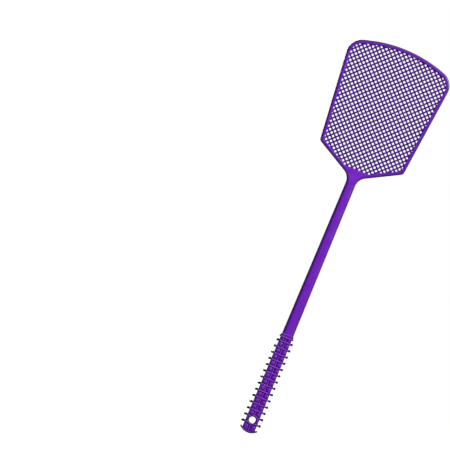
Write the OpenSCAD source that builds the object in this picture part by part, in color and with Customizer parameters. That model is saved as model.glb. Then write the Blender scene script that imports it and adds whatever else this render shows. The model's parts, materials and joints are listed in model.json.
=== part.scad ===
// Fly swatter, moulded in one shot: a ribbed hand grip, a flexible shaft and a meshed head.
// Millimetres. X runs across the head, Y through its thickness (the front faces -Y), and Z up the shaft.
// The origin is the centre of the hang hole.

/* [Grip] */
// Width of the grip body at the hang hole's end
grip_w_bottom = 14.4; // [13.6:0.1:17]
// Width of the grip body under the collar
grip_w_top = 12.8; // [11.5:0.1:15]
// Depth of the grip body, front to back
grip_depth = 8.0; // [6.5:0.1:10]
// Depth of the grip's core, under the pads
core_depth = 5.2; // [4:0.1:6]
// Width of the spine down the middle of each face
spine_w = 1.5; // [1:0.1:2.4]
// Gap between the spine and the pads, and between the ribs and the pads
pad_gap = 0.25; // [0.1:0.05:0.6]

/* [Finger ribs] */
// Number of finger ribs
rib_count = 14; // [6:1:20]
// Distance from one rib to the next
rib_pitch = 7.24; // [6.6:0.01:9]
// How far the lowest rib lies below the hang hole's centre
rib_drop = 3.6; // [3:0.1:4.5]
// Thickness of a rib
rib_t = 1.9; // [1:0.1:2.2]
// How far the lowest rib stands out of each side of the grip
rib_reach_bottom = 4.2; // [2.5:0.1:5]
// How far the highest rib stands out of each side of the grip
rib_reach_top = 3.0; // [2:0.1:4]
// How far a rib stands proud of the front and back faces
rib_proud = 0.6; // [0.3:0.1:1.2]
// Corner radius of a rib's outline
rib_corner_r = 3.4; // [2:0.1:4]
// Clear length of grip above the highest rib
grip_end_clear = 3.25; // [2:0.05:8]

/* [Hang hole and end flange] */
// Diameter of the hang hole
hole_d = 7.3; // [5:0.1:8.2]
// Width of the raised ring around the hang hole
eye_wall = 2.2; // [1.2:0.1:2.2]
// How far that ring stands proud of the grip's faces
eye_proud = 0.5; // [0.2:0.1:0.9]
// Outer radius of the end flange, about the hang hole
flange_r = 14.4; // [13:0.1:18]
// Thickness of the end flange
flange_t = 1.6; // [1.2:0.1:2.5]
// Overall width of the end flange
flange_w = 19.8; // [17.8:0.1:22]
// Depth of the end flange, front to back
flange_depth = 10.4; // [8:0.1:12]

/* [Collar and shaft] */
// Height of the collar
collar_h = 5.0; // [3:0.1:8]
// Width of the collar at its lip
collar_w = 16.0; // [15:0.1:20]
// Depth of the collar at its lip
collar_depth = 9.8; // [8:0.1:12]
// Height of the collar's lip
collar_lip_h = 0.9; // [0.5:0.1:1.5]
// How far the lip lies above the collar's foot
collar_lip_rise = 0.5; // [0.2:0.1:1.2]
// How far the collar's foot stands outside the grip on each side
collar_foot = 0.6; // [0:0.1:1]
// Width of the shaft at the collar
shaft_w_bottom = 12.6; // [10:0.1:14]
// Width of the shaft at the neck
shaft_w_top = 11.0; // [8:0.1:13]
// Thickness of the shaft at the collar
shaft_t_bottom = 6.0; // [4.5:0.1:7.5]
// Thickness of the shaft and the neck plate at the neck
shaft_t_top = 3.8; // [3.4:0.1:5.5]
// Length of the shaft between the collar and the neck
shaft_len = 174.9; // [110:0.1:230]
// Width of the bevel along each edge of the shaft
shaft_bevel = 1.6; // [0.5:0.1:1.6]

/* [Neck] */
// Radius of the fillets between the shaft and the head
neck_fillet_r = 13.0; // [8:0.5:18]
// How far the neck plate runs past the fillets on each side
neck_shoulder = 1.2; // [0.8:0.1:3]

/* [Head] */
// Width of the head between its lower corners
head_w_bottom = 97.2; // [70:0.1:125]
// Height from the lower corners to the crown
head_h = 125.2; // [90:0.1:160]
// Rise of the lower edges, in degrees
lower_edge_rise = 28.7; // [20:0.1:35]
// Outward lean of the sides, in degrees
side_lean = 5.9; // [0:0.1:9]
// Radius of the crown's curve
crown_r = 146; // [110:1:300]
// Radius of the upper corners
upper_corner_r = 17; // [8:0.5:24]
// Radius of the lower corners
lower_corner_r = 4.5; // [4.2:0.1:10]
// Width of the rim
rim_w = 4.0; // [3:0.1:5]
// Thickness of the rim
rim_t = 3.2; // [2.4:0.1:3.4]

/* [Mesh] */
// Distance between strands, centre to centre
strand_pitch = 4.04; // [3.4:0.02:6]
// Width of a strand
strand_w = 1.5; // [0.8:0.1:1.8]
// Thickness of one layer of strands
strand_t = 0.85; // [0.5:0.05:1]
// How far the mesh is keyed into the rim and the neck plate
mesh_key = 1.0; // [0.5:0.1:1.4]
// Height of the lowest crossing on the centre line above the neck plate
first_crossing = 1.2; // [0:0.1:3]

/* [Hidden] */
arc_steps = 14;
section_t = 0.02;
pad_squareness = 2.6;
$fn = 64;

// Heights, from the hang hole up
first_rib_z = -rib_drop;
last_rib_z = first_rib_z + (rib_count - 1) * rib_pitch;
grip_top = last_rib_z + rib_t / 2 + grip_end_clear;
collar_top = grip_top + collar_h;
neck_z = collar_top + shaft_len;
flange_inner_r = flange_r - flange_t;
eye_r = hole_d / 2 + eye_wall;

// The head's outline: each edge is a straight line that an inset moves inwards
shaft_half = shaft_w_top / 2;
neck_fillet_run = neck_fillet_r * tan((90 - lower_edge_rise) / 2);
lower_edge_z = neck_z + neck_fillet_run - shaft_half * tan(lower_edge_rise);
corner_z = lower_edge_z + head_w_bottom / 2 * tan(lower_edge_rise);
crown_z = corner_z + head_h;
fillet_end_x = shaft_half + neck_fillet_r * (1 - sin(lower_edge_rise));
neck_half = fillet_end_x + neck_shoulder;
neck_top = lower_edge_at(neck_half, rim_w);
layers_t = 2 * strand_t;

// The lower edge's height at x, and its x at a height, for an inset outline
function lower_edge_at(x, inset) =
    lower_edge_z + x * tan(lower_edge_rise) + inset / cos(lower_edge_rise);
function lower_edge_x(z, inset) =
    (z - lower_edge_z - inset / cos(lower_edge_rise)) / tan(lower_edge_rise);

// A point at radius r and angle a about c, and an arc of such points
function polar(c, r, a) = c + r * [cos(a), sin(a)];
function arc(c, r, a0, a1, n = arc_steps) = [for (i = [0 : n]) polar(c, r, a0 + (a1 - a0) * i / n)];
function mirrored(pts) = [for (i = [len(pts) - 1 : -1 : 0]) [-pts[i][0], pts[i][1]]];

// The lower corner's centre: it lies at radius r inside both the lower edge and the side
function lower_corner_centre(inset, r) =
    let (
        edge = inset + r,
        a = [sin(lower_edge_rise), -cos(lower_edge_rise)],
        b = [cos(side_lean), -sin(side_lean)],
        vertex = [head_w_bottom / 2, corner_z],
        ka = a * vertex - edge,
        kb = b * vertex - edge,
        det = a[0] * b[1] - a[1] * b[0]
    ) [(ka * b[1] - kb * a[1]) / det, (a[0] * kb - b[0] * ka) / det];

// The upper corner's centre: inside the side by its radius, and touching the crown's circle from within
function upper_corner_centre() =
    let (
        side = [sin(side_lean), cos(side_lean)],
        inwards = [-cos(side_lean), sin(side_lean)],
        crown_centre = [0, crown_z - crown_r],
        start = [head_w_bottom / 2, corner_z] + upper_corner_r * inwards,
        to_start = start - crown_centre,
        reach = crown_r - upper_corner_r,
        along = side * to_start
    ) start + side * (-along + sqrt(along * along - to_start * to_start + reach * reach));

// The right half of the head's outline from a point on the lower edge round to the crown
function half_outline(inset, start_x) =
    let (
        r_low = max(lower_corner_r - inset, 0.3),
        c_low = lower_corner_centre(inset, r_low),
        c_up = upper_corner_centre(),
        crown_centre = [0, crown_z - crown_r],
        crown_a = atan2(c_up[1] - crown_centre[1], c_up[0])
    ) concat(
        [[start_x, lower_edge_at(start_x, inset)]],
        arc(c_low, r_low, lower_edge_rise - 90, -side_lean, 6),
        arc(c_up, upper_corner_r - inset, -side_lean, crown_a),
        arc(crown_centre, crown_r - inset, crown_a, 90)
    );

// The closed outline of the meshed opening, grown by a margin into the rim and the neck plate
function opening_outline(margin) =
    let (
        floor_z = neck_top - margin,
        half = half_outline(rim_w - margin, lower_edge_x(floor_z, rim_w - margin))
    ) concat(half, mirrored(half));

// The band between the outer edge and the opening, open at the neck
function rim_outline() =
    let (
        outer = half_outline(0, neck_half),
        inner = half_outline(rim_w, neck_half),
        inner_whole = concat(inner, mirrored(inner))
    ) concat(outer, mirrored(outer), [for (i = [len(inner_whole) - 1 : -1 : 0]) inner_whole[i]]);

// The neck plate from the shaft's top, up both fillets, to the straight lower edge of the mesh
function neck_outline() =
    let (
        centre = [shaft_half + neck_fillet_r, neck_z],
        half = concat(
            arc(centre, neck_fillet_r, 180, 90 + lower_edge_rise),
            [[neck_half, lower_edge_at(neck_half, 0)], [neck_half, neck_top]]
        )
    ) concat(half, mirrored(half));

// Half the width of the grip body at a height
function grip_half(z) =
    let (k = (z + flange_inner_r) / (grip_top + flange_inner_r))
    (grip_w_bottom + (grip_w_top - grip_w_bottom) * k) / 2;

function rib_z(i) = first_rib_z + (i - 1) * rib_pitch;
function rib_half(i) =
    grip_half(rib_z(i)) + rib_reach_bottom + (rib_reach_top - rib_reach_bottom) * (i - 1) / (rib_count - 1);
function rib_name(i) = str("grip_rib_", i < 10 ? "0" : "", i);

// A rib beside the hang hole keeps only its ends, because the eye takes its place between them
function rib_meets_eye(i) = abs(rib_z(i)) < eye_r + rib_t;

// Floors and ceilings of the pads, from the end flange past each rib to the collar
pad_floors = concat([-flange_inner_r], [for (i = [1 : rib_count]) rib_z(i) + rib_t / 2 + pad_gap]);
pad_tops = concat([for (i = [1 : rib_count]) rib_z(i) - rib_t / 2 - pad_gap], [grip_top]);

// Section of a pad: a flat-topped curve from the spine's side to the grip's edge
function pad_section(z) =
    let (
        inner = spine_w / 2 + pad_gap,
        outer = grip_half(z),
        height = (grip_depth - core_depth) / 2,
        steps = 12
    ) [for (i = [0 : steps])
        let (u = cos(180 * i / steps), rise = pow(1 - pow(abs(u), pad_squareness), 1 / pad_squareness))
        [(inner + outer) / 2 - u * (outer - inner) / 2, rise * height]];

// Extrudes an outline drawn in X and Z through the thickness, from y0 back to y0 + t
module slab(t, y0) {
    translate([0, y0 + t, 0]) rotate([90, 0, 0]) linear_extrude(t) children();
}

module rounded_rect(w, d, r) {
    square([w - 2 * r, d], center = true);
    square([w, d - 2 * r], center = true);
    for (sx = [-1, 1]) for (sy = [-1, 1]) translate([sx * (w / 2 - r), sy * (d / 2 - r)]) circle(r);
}

module bevelled_rect(w, d, c) {
    polygon([
        for (s = [[1, 1], [-1, 1], [-1, -1], [1, -1]])
        for (p = s[0] * s[1] > 0 ? [[w / 2, d / 2 - c], [w / 2 - c, d / 2]]
                                 : [[w / 2 - c, d / 2], [w / 2, d / 2 - c]])
        [s[0] * p[0], s[1] * p[1]]
    ]);
}

module head_rim() {
    color("#6824a8") difference() {
        slab(rim_t, -rim_t / 2) polygon(rim_outline());
        slab(layers_t, -layers_t / 2) polygon(opening_outline(mesh_key));
    }
}

// One layer of strands, all leaning the same way, with the border that is keyed into the rim
module strand_layer(lean, y0) {
    gap = strand_pitch - strand_w;
    crossing = [0, neck_top + first_crossing];
    reach = head_h + head_w_bottom;
    rows = ceil(reach / strand_pitch);
    slab(strand_t, y0) difference() {
        polygon(opening_outline(mesh_key));
        intersection() {
            polygon(opening_outline(0));
            translate(crossing) rotate(lean) for (i = [-rows : rows]) {
                translate([(i + 0.5) * strand_pitch, 0]) square([gap, 3 * reach], center = true);
            }
        }
    }
}

module mesh_front_strands() {
    color("#4a1a86") strand_layer(-45, -strand_t);
}

module mesh_back_strands() {
    color("#3e1474") strand_layer(45, 0);
}

module neck_plate() {
    color("#7228b6") difference() {
        slab(shaft_t_top, -shaft_t_top / 2) polygon(neck_outline());
        slab(layers_t, -layers_t / 2) polygon(opening_outline(mesh_key));
    }
}

module shaft() {
    color("#7429b8") hull() {
        translate([0, 0, collar_top]) linear_extrude(section_t)
            bevelled_rect(shaft_w_bottom, shaft_t_bottom, shaft_bevel);
        translate([0, 0, neck_z - section_t]) linear_extrude(section_t)
            bevelled_rect(shaft_w_top, shaft_t_top, shaft_bevel);
    }
}

// A skirt that flares from the shaft to a lip and tucks back in to the grip
module collar() {
    color("#8034c4") hull() {
        translate([0, 0, grip_top]) linear_extrude(section_t)
            bevelled_rect(grip_w_top + 2 * collar_foot, grip_depth, shaft_bevel);
        translate([0, 0, grip_top + collar_lip_rise]) linear_extrude(collar_lip_h)
            bevelled_rect(collar_w, collar_depth, shaft_bevel);
        translate([0, 0, collar_top - section_t]) linear_extrude(section_t)
            bevelled_rect(shaft_w_bottom, shaft_t_bottom, shaft_bevel);
    }
}

// The eye's outside, which the core, pads and spines are cut to
module eye_space() {
    rotate([90, 0, 0]) cylinder(r = eye_r, h = 2 * grip_depth, center = true);
}

// Everything above the flange's inner face
module above_flange() {
    circle(flange_inner_r);
    translate([-grip_w_bottom, 0]) square([2 * grip_w_bottom, grip_top]);
}

module grip_core() {
    bottom_half = grip_half(-flange_inner_r);
    top_half = grip_half(grip_top);
    color("#5c2098") difference() {
        slab(core_depth, -core_depth / 2) intersection() {
            polygon([
                [-bottom_half, -flange_inner_r], [bottom_half, -flange_inner_r],
                [top_half, grip_top], [-top_half, grip_top]
            ]);
            above_flange();
        }
        eye_space();
    }
}

// The pads of one face: a pair between each rib and the next, and one pair at either end
module grip_pads(face) {
    difference() {
        intersection() {
            for (i = [0 : rib_count]) translate([0, 0, pad_floors[i]]) for (side = [0, 1]) {
                mirror([side, 0, 0]) mirror([0, face < 0 ? 1 : 0, 0]) translate([0, core_depth / 2, 0])
                    linear_extrude(pad_tops[i] - pad_floors[i]) polygon(pad_section(pad_tops[i]));
            }
            slab(2 * grip_depth, -grip_depth) above_flange();
        }
        eye_space();
    }
}

module grip_front_pads() {
    color("#7028b4") grip_pads(-1);
}

module grip_back_pads() {
    color("#7028b4") grip_pads(1);
}

// The spine down one face, in two runs: below the eye and above it
module grip_spine(face) {
    height = (grip_depth - core_depth) / 2;
    difference() {
        slab(height, face < 0 ? -grip_depth / 2 : core_depth / 2) intersection() {
            translate([-spine_w / 2, -flange_r]) square([spine_w, grip_top + flange_r]);
            above_flange();
        }
        eye_space();
    }
}

module grip_front_spine() {
    color("#8a3ccc") grip_spine(-1);
}

module grip_back_spine() {
    color("#8a3ccc") grip_spine(1);
}

// A rib is a plate around the core and the spines; beside the eye only its ends remain
module grip_rib(i) {
    color("#8236c6") difference() {
        translate([0, 0, rib_z(i) - rib_t / 2]) linear_extrude(rib_t) difference() {
            rounded_rect(2 * rib_half(i), grip_depth + 2 * rib_proud, rib_corner_r);
            if (rib_meets_eye(i)) square([2 * eye_r, 2 * grip_depth], center = true);
        }
        grip_core();
        grip_spine(-1);
        grip_spine(1);
    }
}

module hang_eye() {
    depth = grip_depth + 2 * eye_proud;
    color("#7c30c2") rotate([90, 0, 0]) difference() {
        cylinder(r = eye_r, h = depth, center = true);
        cylinder(d = hole_d, h = 2 * depth, center = true);
    }
}

// A curved foot centred on the hang hole
module end_flange() {
    tip_r = flange_t / 2;
    mid_r = flange_r - tip_r;
    half_angle = asin((flange_w / 2 - tip_r) / mid_r);
    color("#6e28b0") slab(flange_depth, -flange_depth / 2) {
        difference() {
            circle(flange_r);
            circle(flange_inner_r);
            polygon([
                [0, 0],
                polar([0, 0], 2 * flange_r, half_angle - 90),
                [3 * flange_r, 3 * flange_r],
                [-3 * flange_r, 3 * flange_r],
                polar([0, 0], 2 * flange_r, -half_angle - 90)
            ]);
        }
        for (s = [-1, 1]) translate(polar([0, 0], mid_r, s * half_angle - 90)) circle(tip_r);
    }
}

head_rim();
mesh_front_strands();
mesh_back_strands();
neck_plate();
shaft();
collar();
grip_core();
grip_front_pads();
grip_back_pads();
grip_front_spine();
grip_back_spine();
for (i = [1 : rib_count]) grip_rib(i);
hang_eye();
end_flange();
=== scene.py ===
"""A moulded plastic fly swatter: its finished surfaces, materials and studio, built around the frame.

Sizes in the classes are millimetres, and turn into metres where a mesh is made. X runs across the
head, Y through the thickness with the front face towards -Y, and Z up the shaft from the hang hole.
"""

import json
import logging
import math
from dataclasses import dataclass, field
from enum import Enum

import bpy
import numpy as np
from mathutils import Matrix, Vector


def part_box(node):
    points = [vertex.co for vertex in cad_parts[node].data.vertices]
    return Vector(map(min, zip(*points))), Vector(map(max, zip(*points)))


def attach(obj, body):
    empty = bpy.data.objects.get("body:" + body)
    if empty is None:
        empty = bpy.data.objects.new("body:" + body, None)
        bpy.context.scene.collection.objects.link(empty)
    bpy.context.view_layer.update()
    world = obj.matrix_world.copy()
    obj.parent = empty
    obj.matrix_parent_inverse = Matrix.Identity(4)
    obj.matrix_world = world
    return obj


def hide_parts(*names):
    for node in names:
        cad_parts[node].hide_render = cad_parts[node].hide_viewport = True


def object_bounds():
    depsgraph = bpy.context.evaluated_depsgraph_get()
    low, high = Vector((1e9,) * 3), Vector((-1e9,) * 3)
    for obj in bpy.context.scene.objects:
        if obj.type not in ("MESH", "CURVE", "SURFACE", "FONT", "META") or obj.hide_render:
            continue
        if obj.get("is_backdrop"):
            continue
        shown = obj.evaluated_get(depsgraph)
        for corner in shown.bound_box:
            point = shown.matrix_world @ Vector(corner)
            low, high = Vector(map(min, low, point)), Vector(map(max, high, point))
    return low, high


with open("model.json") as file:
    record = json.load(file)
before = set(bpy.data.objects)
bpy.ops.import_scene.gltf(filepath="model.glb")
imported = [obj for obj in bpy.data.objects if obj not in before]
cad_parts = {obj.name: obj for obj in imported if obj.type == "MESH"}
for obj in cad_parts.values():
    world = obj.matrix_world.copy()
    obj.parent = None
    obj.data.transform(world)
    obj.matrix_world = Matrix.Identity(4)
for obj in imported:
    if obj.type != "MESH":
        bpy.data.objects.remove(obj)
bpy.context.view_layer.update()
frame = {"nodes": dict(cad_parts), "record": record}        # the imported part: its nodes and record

BODY = "root"
MM = 0.001
FOOT_THICKNESS = 1.6
SHARP_ANGLE = math.radians(38.0)
# Point attribute of painted shade: 1 where a darker colour is painted on edges and in hollows as shade, 0 on the
# flats.
PAINTED_SHADE_ATTRIBUTE = "painted_edge_shade"
WHITE = "#ffffff"

Array = np.ndarray
log = logging.getLogger("fly_swatter")


class Face(Enum):
    """The two broad faces of the moulding; the value is the direction along Y."""

    FRONT = -1.0
    BACK = 1.0


class Side(Enum):
    """The two long edges of the moulding; the value is the direction along X."""

    LEFT = -1.0
    RIGHT = 1.0


# ---------------------------------------------------------------------------------------------
# Finishes
# ---------------------------------------------------------------------------------------------

def linear_colour(hex_colour: str) -> tuple[float, float, float, float]:
    """Turns an sRGB hex colour into the linear colour that a shader takes.

    Args:
        hex_colour: Six hex digits with a leading hash.

    Returns:
        Red, green, blue and an alpha of one. A channel c becomes c / 12.92 near black, and
        ((c + 0.055) / 1.055) to the power 2.4 above that.
    """
    channels = np.array([int(hex_colour[i:i + 2], 16) for i in (1, 3, 5)]) / 255.0
    linear = np.where(channels <= 0.04045, channels / 12.92, ((channels + 0.055) / 1.055) ** 2.4)
    return (*linear.tolist(), 1.0)


def add_node(tree: bpy.types.NodeTree, kind: str, settings: dict | None = None,
             values: dict | None = None, links: dict | None = None) -> bpy.types.Node:
    """Adds one shader node with its settings, socket values and incoming links.

    Args:
        tree: The node tree that takes the node.
        kind: The node's type, such as ShaderNodeTexNoise.
        settings: Attributes of the node itself.
        values: Input sockets' own values, by name or number.
        links: Output sockets that feed the input sockets, by name or number.

    Returns:
        The new node.
    """
    node = tree.nodes.new(kind)
    for name, value in (settings or {}).items():
        setattr(node, name, value)
    for socket, value in (values or {}).items():
        node.inputs[socket].default_value = value
    for socket, output in (links or {}).items():
        tree.links.new(output, node.inputs[socket])
    return node


def per_metre(size_mm: float) -> float:
    """The texture scale at which one feature is size_mm across on Object coordinates."""
    return 1.0 / (size_mm * MM)


@dataclass(frozen=True)
class MouldedPolypropylene:
    """Injection-moulded polypropylene, coloured through with violet pigment.

    It gives the eye a satin sheen with soft, broad highlights, faint streaks of pigment drawn out
    along the flow from the gate, a fine mould grain, and painted shade: a darker colour mixed in
    along its rounded edges and in its hollows, by each piece's painted shade attribute.
    """

    name: str
    slot: str
    colour: str
    deep_colour: str
    # The painted shade colour, and how much of it is mixed in at full painted shade.
    painted_shade_colour: str
    painted_shade_share: float = 0.92
    roughness: float = 0.38
    streak_width: float = 3.5
    streak_length: float = 40.0
    cloud_size: float = 9.0
    # The mould's spark-eroded grain is about 0.05 mm; it is drawn ten times coarser, to show
    grain_size: float = 0.5
    grain_depth: float = 0.004
    scratch_width: float = 0.5
    scratch_length: float = 14.0
    index: float = 1.49

    def material(self) -> bpy.types.Material:
        """Builds the shader: streaked colour, clouded roughness, mould grain and painted edge shade.

        Returns:
            The material, on Object coordinates and the pieces' own painted shade attribute.
        """
        made = bpy.data.materials.new(self.name)
        made.use_nodes = True
        tree = made.node_tree
        tree.nodes.clear()
        place = add_node(tree, "ShaderNodeTexCoord").outputs["Object"]
        flow = add_node(
            tree, "ShaderNodeMapping", {"vector_type": "POINT"},
            {"Scale": (1.0, 1.0, self.streak_width / self.streak_length)}, {"Vector": place},
        )
        streaks = add_node(
            tree, "ShaderNodeTexNoise", None,
            {"Scale": per_metre(self.streak_width), "Detail": 3.0, "Roughness": 0.55},
            {"Vector": flow.outputs["Vector"]},
        )
        clouds = add_node(
            tree, "ShaderNodeTexNoise", None,
            {"Scale": per_metre(self.cloud_size), "Detail": 2.0, "Roughness": 0.5}, {"Vector": place},
        )
        painted_shade = add_node(tree, "ShaderNodeAttribute", {"attribute_name": PAINTED_SHADE_ATTRIBUTE}).outputs["Fac"]
        colour = self._colour(tree, streaks.outputs["Fac"], clouds.outputs["Fac"], painted_shade)
        scratches = self._scratches(tree, place)
        roughness = self._roughness(tree, clouds.outputs["Fac"], scratches, painted_shade)
        shader = add_node(
            tree, "ShaderNodeBsdfPrincipled", None, {"IOR": self.index},
            {
                "Base Color": colour, "Roughness": roughness,
                "Normal": self._bump(tree, place, scratches),
            },
        )
        add_node(tree, "ShaderNodeOutputMaterial", None, None, {"Surface": shader.outputs["BSDF"]})
        made.diffuse_color = linear_colour(self.colour)
        return made

    def _colour(self, tree: bpy.types.NodeTree, streaks: bpy.types.NodeSocket,
                clouds: bpy.types.NodeSocket, painted_shade: bpy.types.NodeSocket) -> bpy.types.NodeSocket:
        """Mixes the deep colour in along the streaks and clouds, and paints shade in its darker colour at the
        edges.

        Args:
            tree: The material's node tree.
            streaks: The long noise along the flow.
            clouds: The broad noise.
            painted_shade: The painted shade, from 0 on the flats to 1 on an edge or in a hollow.

        Returns:
            The socket that carries the colour.
        """
        pigment = add_node(
            tree, "ShaderNodeMath", {"operation": "MULTIPLY_ADD"}, {1: 0.6},
            {0: streaks, 2: add_node(
                tree, "ShaderNodeMath", {"operation": "MULTIPLY"}, {1: 0.4}, {0: clouds},
            ).outputs["Value"]},
        )
        share = add_node(
            tree, "ShaderNodeMapRange", None,
            {"From Min": 0.38, "From Max": 0.66, "To Min": 0.0, "To Max": 0.55},
            {"Value": pigment.outputs["Value"]},
        )
        body = add_node(
            tree, "ShaderNodeMix", {"data_type": "RGBA"},
            {"A": linear_colour(self.colour), "B": linear_colour(self.deep_colour)},
            {"Factor": share.outputs["Result"]},
        )
        edged = add_node(
            tree, "ShaderNodeMath", {"operation": "MULTIPLY"}, {1: self.painted_shade_share}, {0: painted_shade},
        )
        return add_node(
            tree, "ShaderNodeMix", {"data_type": "RGBA"}, {"B": linear_colour(self.painted_shade_colour)},
            {"Factor": edged.outputs["Value"], "A": body.outputs["Result"]},
        ).outputs["Result"]

    def _scratches(self, tree: bpy.types.NodeTree, place: bpy.types.NodeSocket) -> bpy.types.NodeSocket:
        """Draws sparse hairline scratches: the peaks of a noise stretched along a slant.

        Args:
            tree: The material's node tree.
            place: Object coordinates.

        Returns:
            The socket that is 1 on a scratch and 0 elsewhere.
        """
        slant = add_node(
            tree, "ShaderNodeMapping", {"vector_type": "POINT"},
            {
                "Rotation": (0.0, math.radians(24.0), 0.0),
                "Scale": (1.0, 1.0, self.scratch_width / self.scratch_length),
            },
            {"Vector": place},
        )
        lines = add_node(
            tree, "ShaderNodeTexNoise", None,
            {"Scale": per_metre(self.scratch_width), "Detail": 0.0}, {"Vector": slant.outputs["Vector"]},
        )
        return add_node(
            tree, "ShaderNodeMapRange", None, {"From Min": 0.69, "From Max": 0.76},
            {"Value": lines.outputs["Fac"]},
        ).outputs["Result"]

    def _roughness(self, tree: bpy.types.NodeTree, clouds: bpy.types.NodeSocket,
                   scratches: bpy.types.NodeSocket, painted_shade: bpy.types.NodeSocket) -> bpy.types.NodeSocket:
        """Varies the gloss with the clouds, dulls the scratches and polishes the edges.

        Args:
            tree: The material's node tree.
            clouds: The broad noise.
            scratches: The hairline scratches.
            painted_shade: The painted shade, which also marks the edges to polish.

        Returns:
            The socket that carries the roughness.
        """
        base = add_node(
            tree, "ShaderNodeMapRange", None,
            {
                "From Min": 0.3, "From Max": 0.7,
                "To Min": self.roughness - 0.05, "To Max": self.roughness + 0.06,
            },
            {"Value": clouds},
        )
        dulled = add_node(
            tree, "ShaderNodeMath", {"operation": "MULTIPLY_ADD"}, {1: 0.14},
            {0: scratches, 2: base.outputs["Result"]},
        )
        return add_node(
            tree, "ShaderNodeMath", {"operation": "MULTIPLY_ADD", "use_clamp": True}, {1: -0.04},
            {0: painted_shade, 2: dulled.outputs["Value"]},
        ).outputs["Value"]

    def _bump(self, tree: bpy.types.NodeTree, place: bpy.types.NodeSocket,
              scratches: bpy.types.NodeSocket) -> bpy.types.NodeSocket:
        """Raises the mould grain and sinks the scratches.

        Args:
            tree: The material's node tree.
            place: Object coordinates.
            scratches: The hairline scratches.

        Returns:
            The socket that carries the bumped normal.
        """
        grain = add_node(
            tree, "ShaderNodeTexNoise", None,
            {"Scale": per_metre(self.grain_size), "Detail": 2.0, "Roughness": 0.6}, {"Vector": place},
        )
        height = add_node(
            tree, "ShaderNodeMath", {"operation": "MULTIPLY_ADD"}, {1: -0.6},
            {0: scratches, 2: grain.outputs["Fac"]},
        )
        return add_node(
            tree, "ShaderNodeBump", None, {"Strength": 1.0, "Distance": self.grain_depth * MM},
            {"Height": height.outputs["Value"]},
        ).outputs["Normal"]


# All the pieces are one violet plastic. The lighter colours of the ribs and spines, the collar, and the eye ring
# and foot are painted highlight, where raised parts catch the light; the darker colour of the mesh strands is
# painted shade. Each finish's last colour is its painted shade colour.
HANDLE_FINISH = MouldedPolypropylene(
    "moulded_polypropylene_handle", "handle_plastic", "#6a0ab0", "#6008a4", "#24044e")
COLLAR_FINISH = MouldedPolypropylene(
    "moulded_polypropylene_collar_painted_highlight", "handle_plastic", "#8426cc", "#781cc0", "#1e0440",
    streak_width=3.0, streak_length=12.0)
GRIP_FINISH = MouldedPolypropylene(
    "moulded_polypropylene_grip", "grip_plastic", "#640aa6", "#580898", "#1e0440",
    roughness=0.5, streak_width=2.0, streak_length=8.0)
RIB_FINISH = MouldedPolypropylene(
    "moulded_polypropylene_ribs_painted_highlight", "rib_plastic", "#8024c8", "#741cbc", "#12022a",
    painted_shade_share=0.96, streak_width=5.0, streak_length=5.0)
EYE_FINISH = MouldedPolypropylene(
    "moulded_polypropylene_eye_painted_highlight", "grip_plastic", "#7a1cc2", "#6c14b4", "#1c0440",
    painted_shade_share=0.96, roughness=0.5, streak_width=4.0, streak_length=4.0)
RIM_FINISH = MouldedPolypropylene(
    "moulded_polypropylene_rim", "rim_plastic", "#5e08a4", "#520694", "#18033a",
    streak_width=9.0, streak_length=9.0)
MESH_FINISH = MouldedPolypropylene(
    "moulded_polypropylene_mesh_painted_shade", "mesh_plastic", "#42067a", "#3a046c", "#240448",
    streak_width=6.0, streak_length=6.0, grain_depth=0.002, roughness=0.5, index=1.25)


# ---------------------------------------------------------------------------------------------
# Surfaces
# ---------------------------------------------------------------------------------------------

@dataclass(frozen=True)
class Extent:
    """The box of one CAD node, in millimetres."""

    low: Array
    high: Array

    @classmethod
    def of(cls, node: str) -> "Extent":
        """Reads a node's box from the frame.

        Args:
            node: The CAD node's name.

        Returns:
            Its lowest and highest corners.
        """
        low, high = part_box(node)
        return cls(np.array(low) / MM, np.array(high) / MM)

    @property
    def half_width(self) -> float:
        """Half of the size along X."""
        return float(self.high[0] - self.low[0]) / 2.0

    @property
    def half_depth(self) -> float:
        """Half of the size along Y."""
        return float(self.high[1] - self.low[1]) / 2.0

    @property
    def bottom(self) -> float:
        """The lowest Z."""
        return float(self.low[2])

    @property
    def top(self) -> float:
        """The highest Z."""
        return float(self.high[2])

    @property
    def middle(self) -> float:
        """The Z halfway up."""
        return (self.bottom + self.top) / 2.0


def bore_radius(mount: str) -> float:
    """Radius in millimetres that the part's record gives for a bore."""
    return next(each["dims"]["r_mm"] for each in frame["record"]["mounts"] if each["name"] == mount)


def quarter(steps: int) -> Array:
    """Angles from 0 to a quarter turn.

    Args:
        steps: Number of steps between them.

    Returns:
        The angles in radians, both ends included.
    """
    return np.linspace(0.0, math.pi / 2.0, steps + 1)


def smooth_step(value: Array) -> Array:
    """The curve 3t^2 - 2t^3, with t held between 0 and 1."""
    t = np.clip(value, 0.0, 1.0)
    return t * t * (3.0 - 2.0 * t)


def rounded_edge(distance: Array, half: Array | float, land: Array | float, radius: Array | float,
                 power: Array | float = 2.0) -> Array:
    """Half thickness beside a free edge: a narrow land, a rounding, then the full half.

    At distance d the result is land + (half - land) * (1 - (1 - min(d, radius) / radius)^p)^(1/p).

    Args:
        distance: Distances from the free edge.
        half: Half thickness away from the edge.
        land: Half thickness at the edge itself, which the mould's parting line leaves.
        radius: How far the rounding reaches in from the edge.
        power: The rounding's p: 2 for a quarter ellipse, and nearer to 1 for a straighter bevel.

    Returns:
        The half thickness at each distance.
    """
    inwards = 1.0 - np.clip(distance / radius, 0.0, 1.0)
    return land + (half - land) * (1.0 - inwards ** power) ** (1.0 / power)


def painted_edge_shade(distance: Array, radius: float) -> Array:
    """Painted shade that is 1 out to 0.3 radii in from an edge, and falls smoothly to 0 at 1.35 radii."""
    return 1.0 - smooth_step((distance / radius - 0.3) / 1.05)


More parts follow.
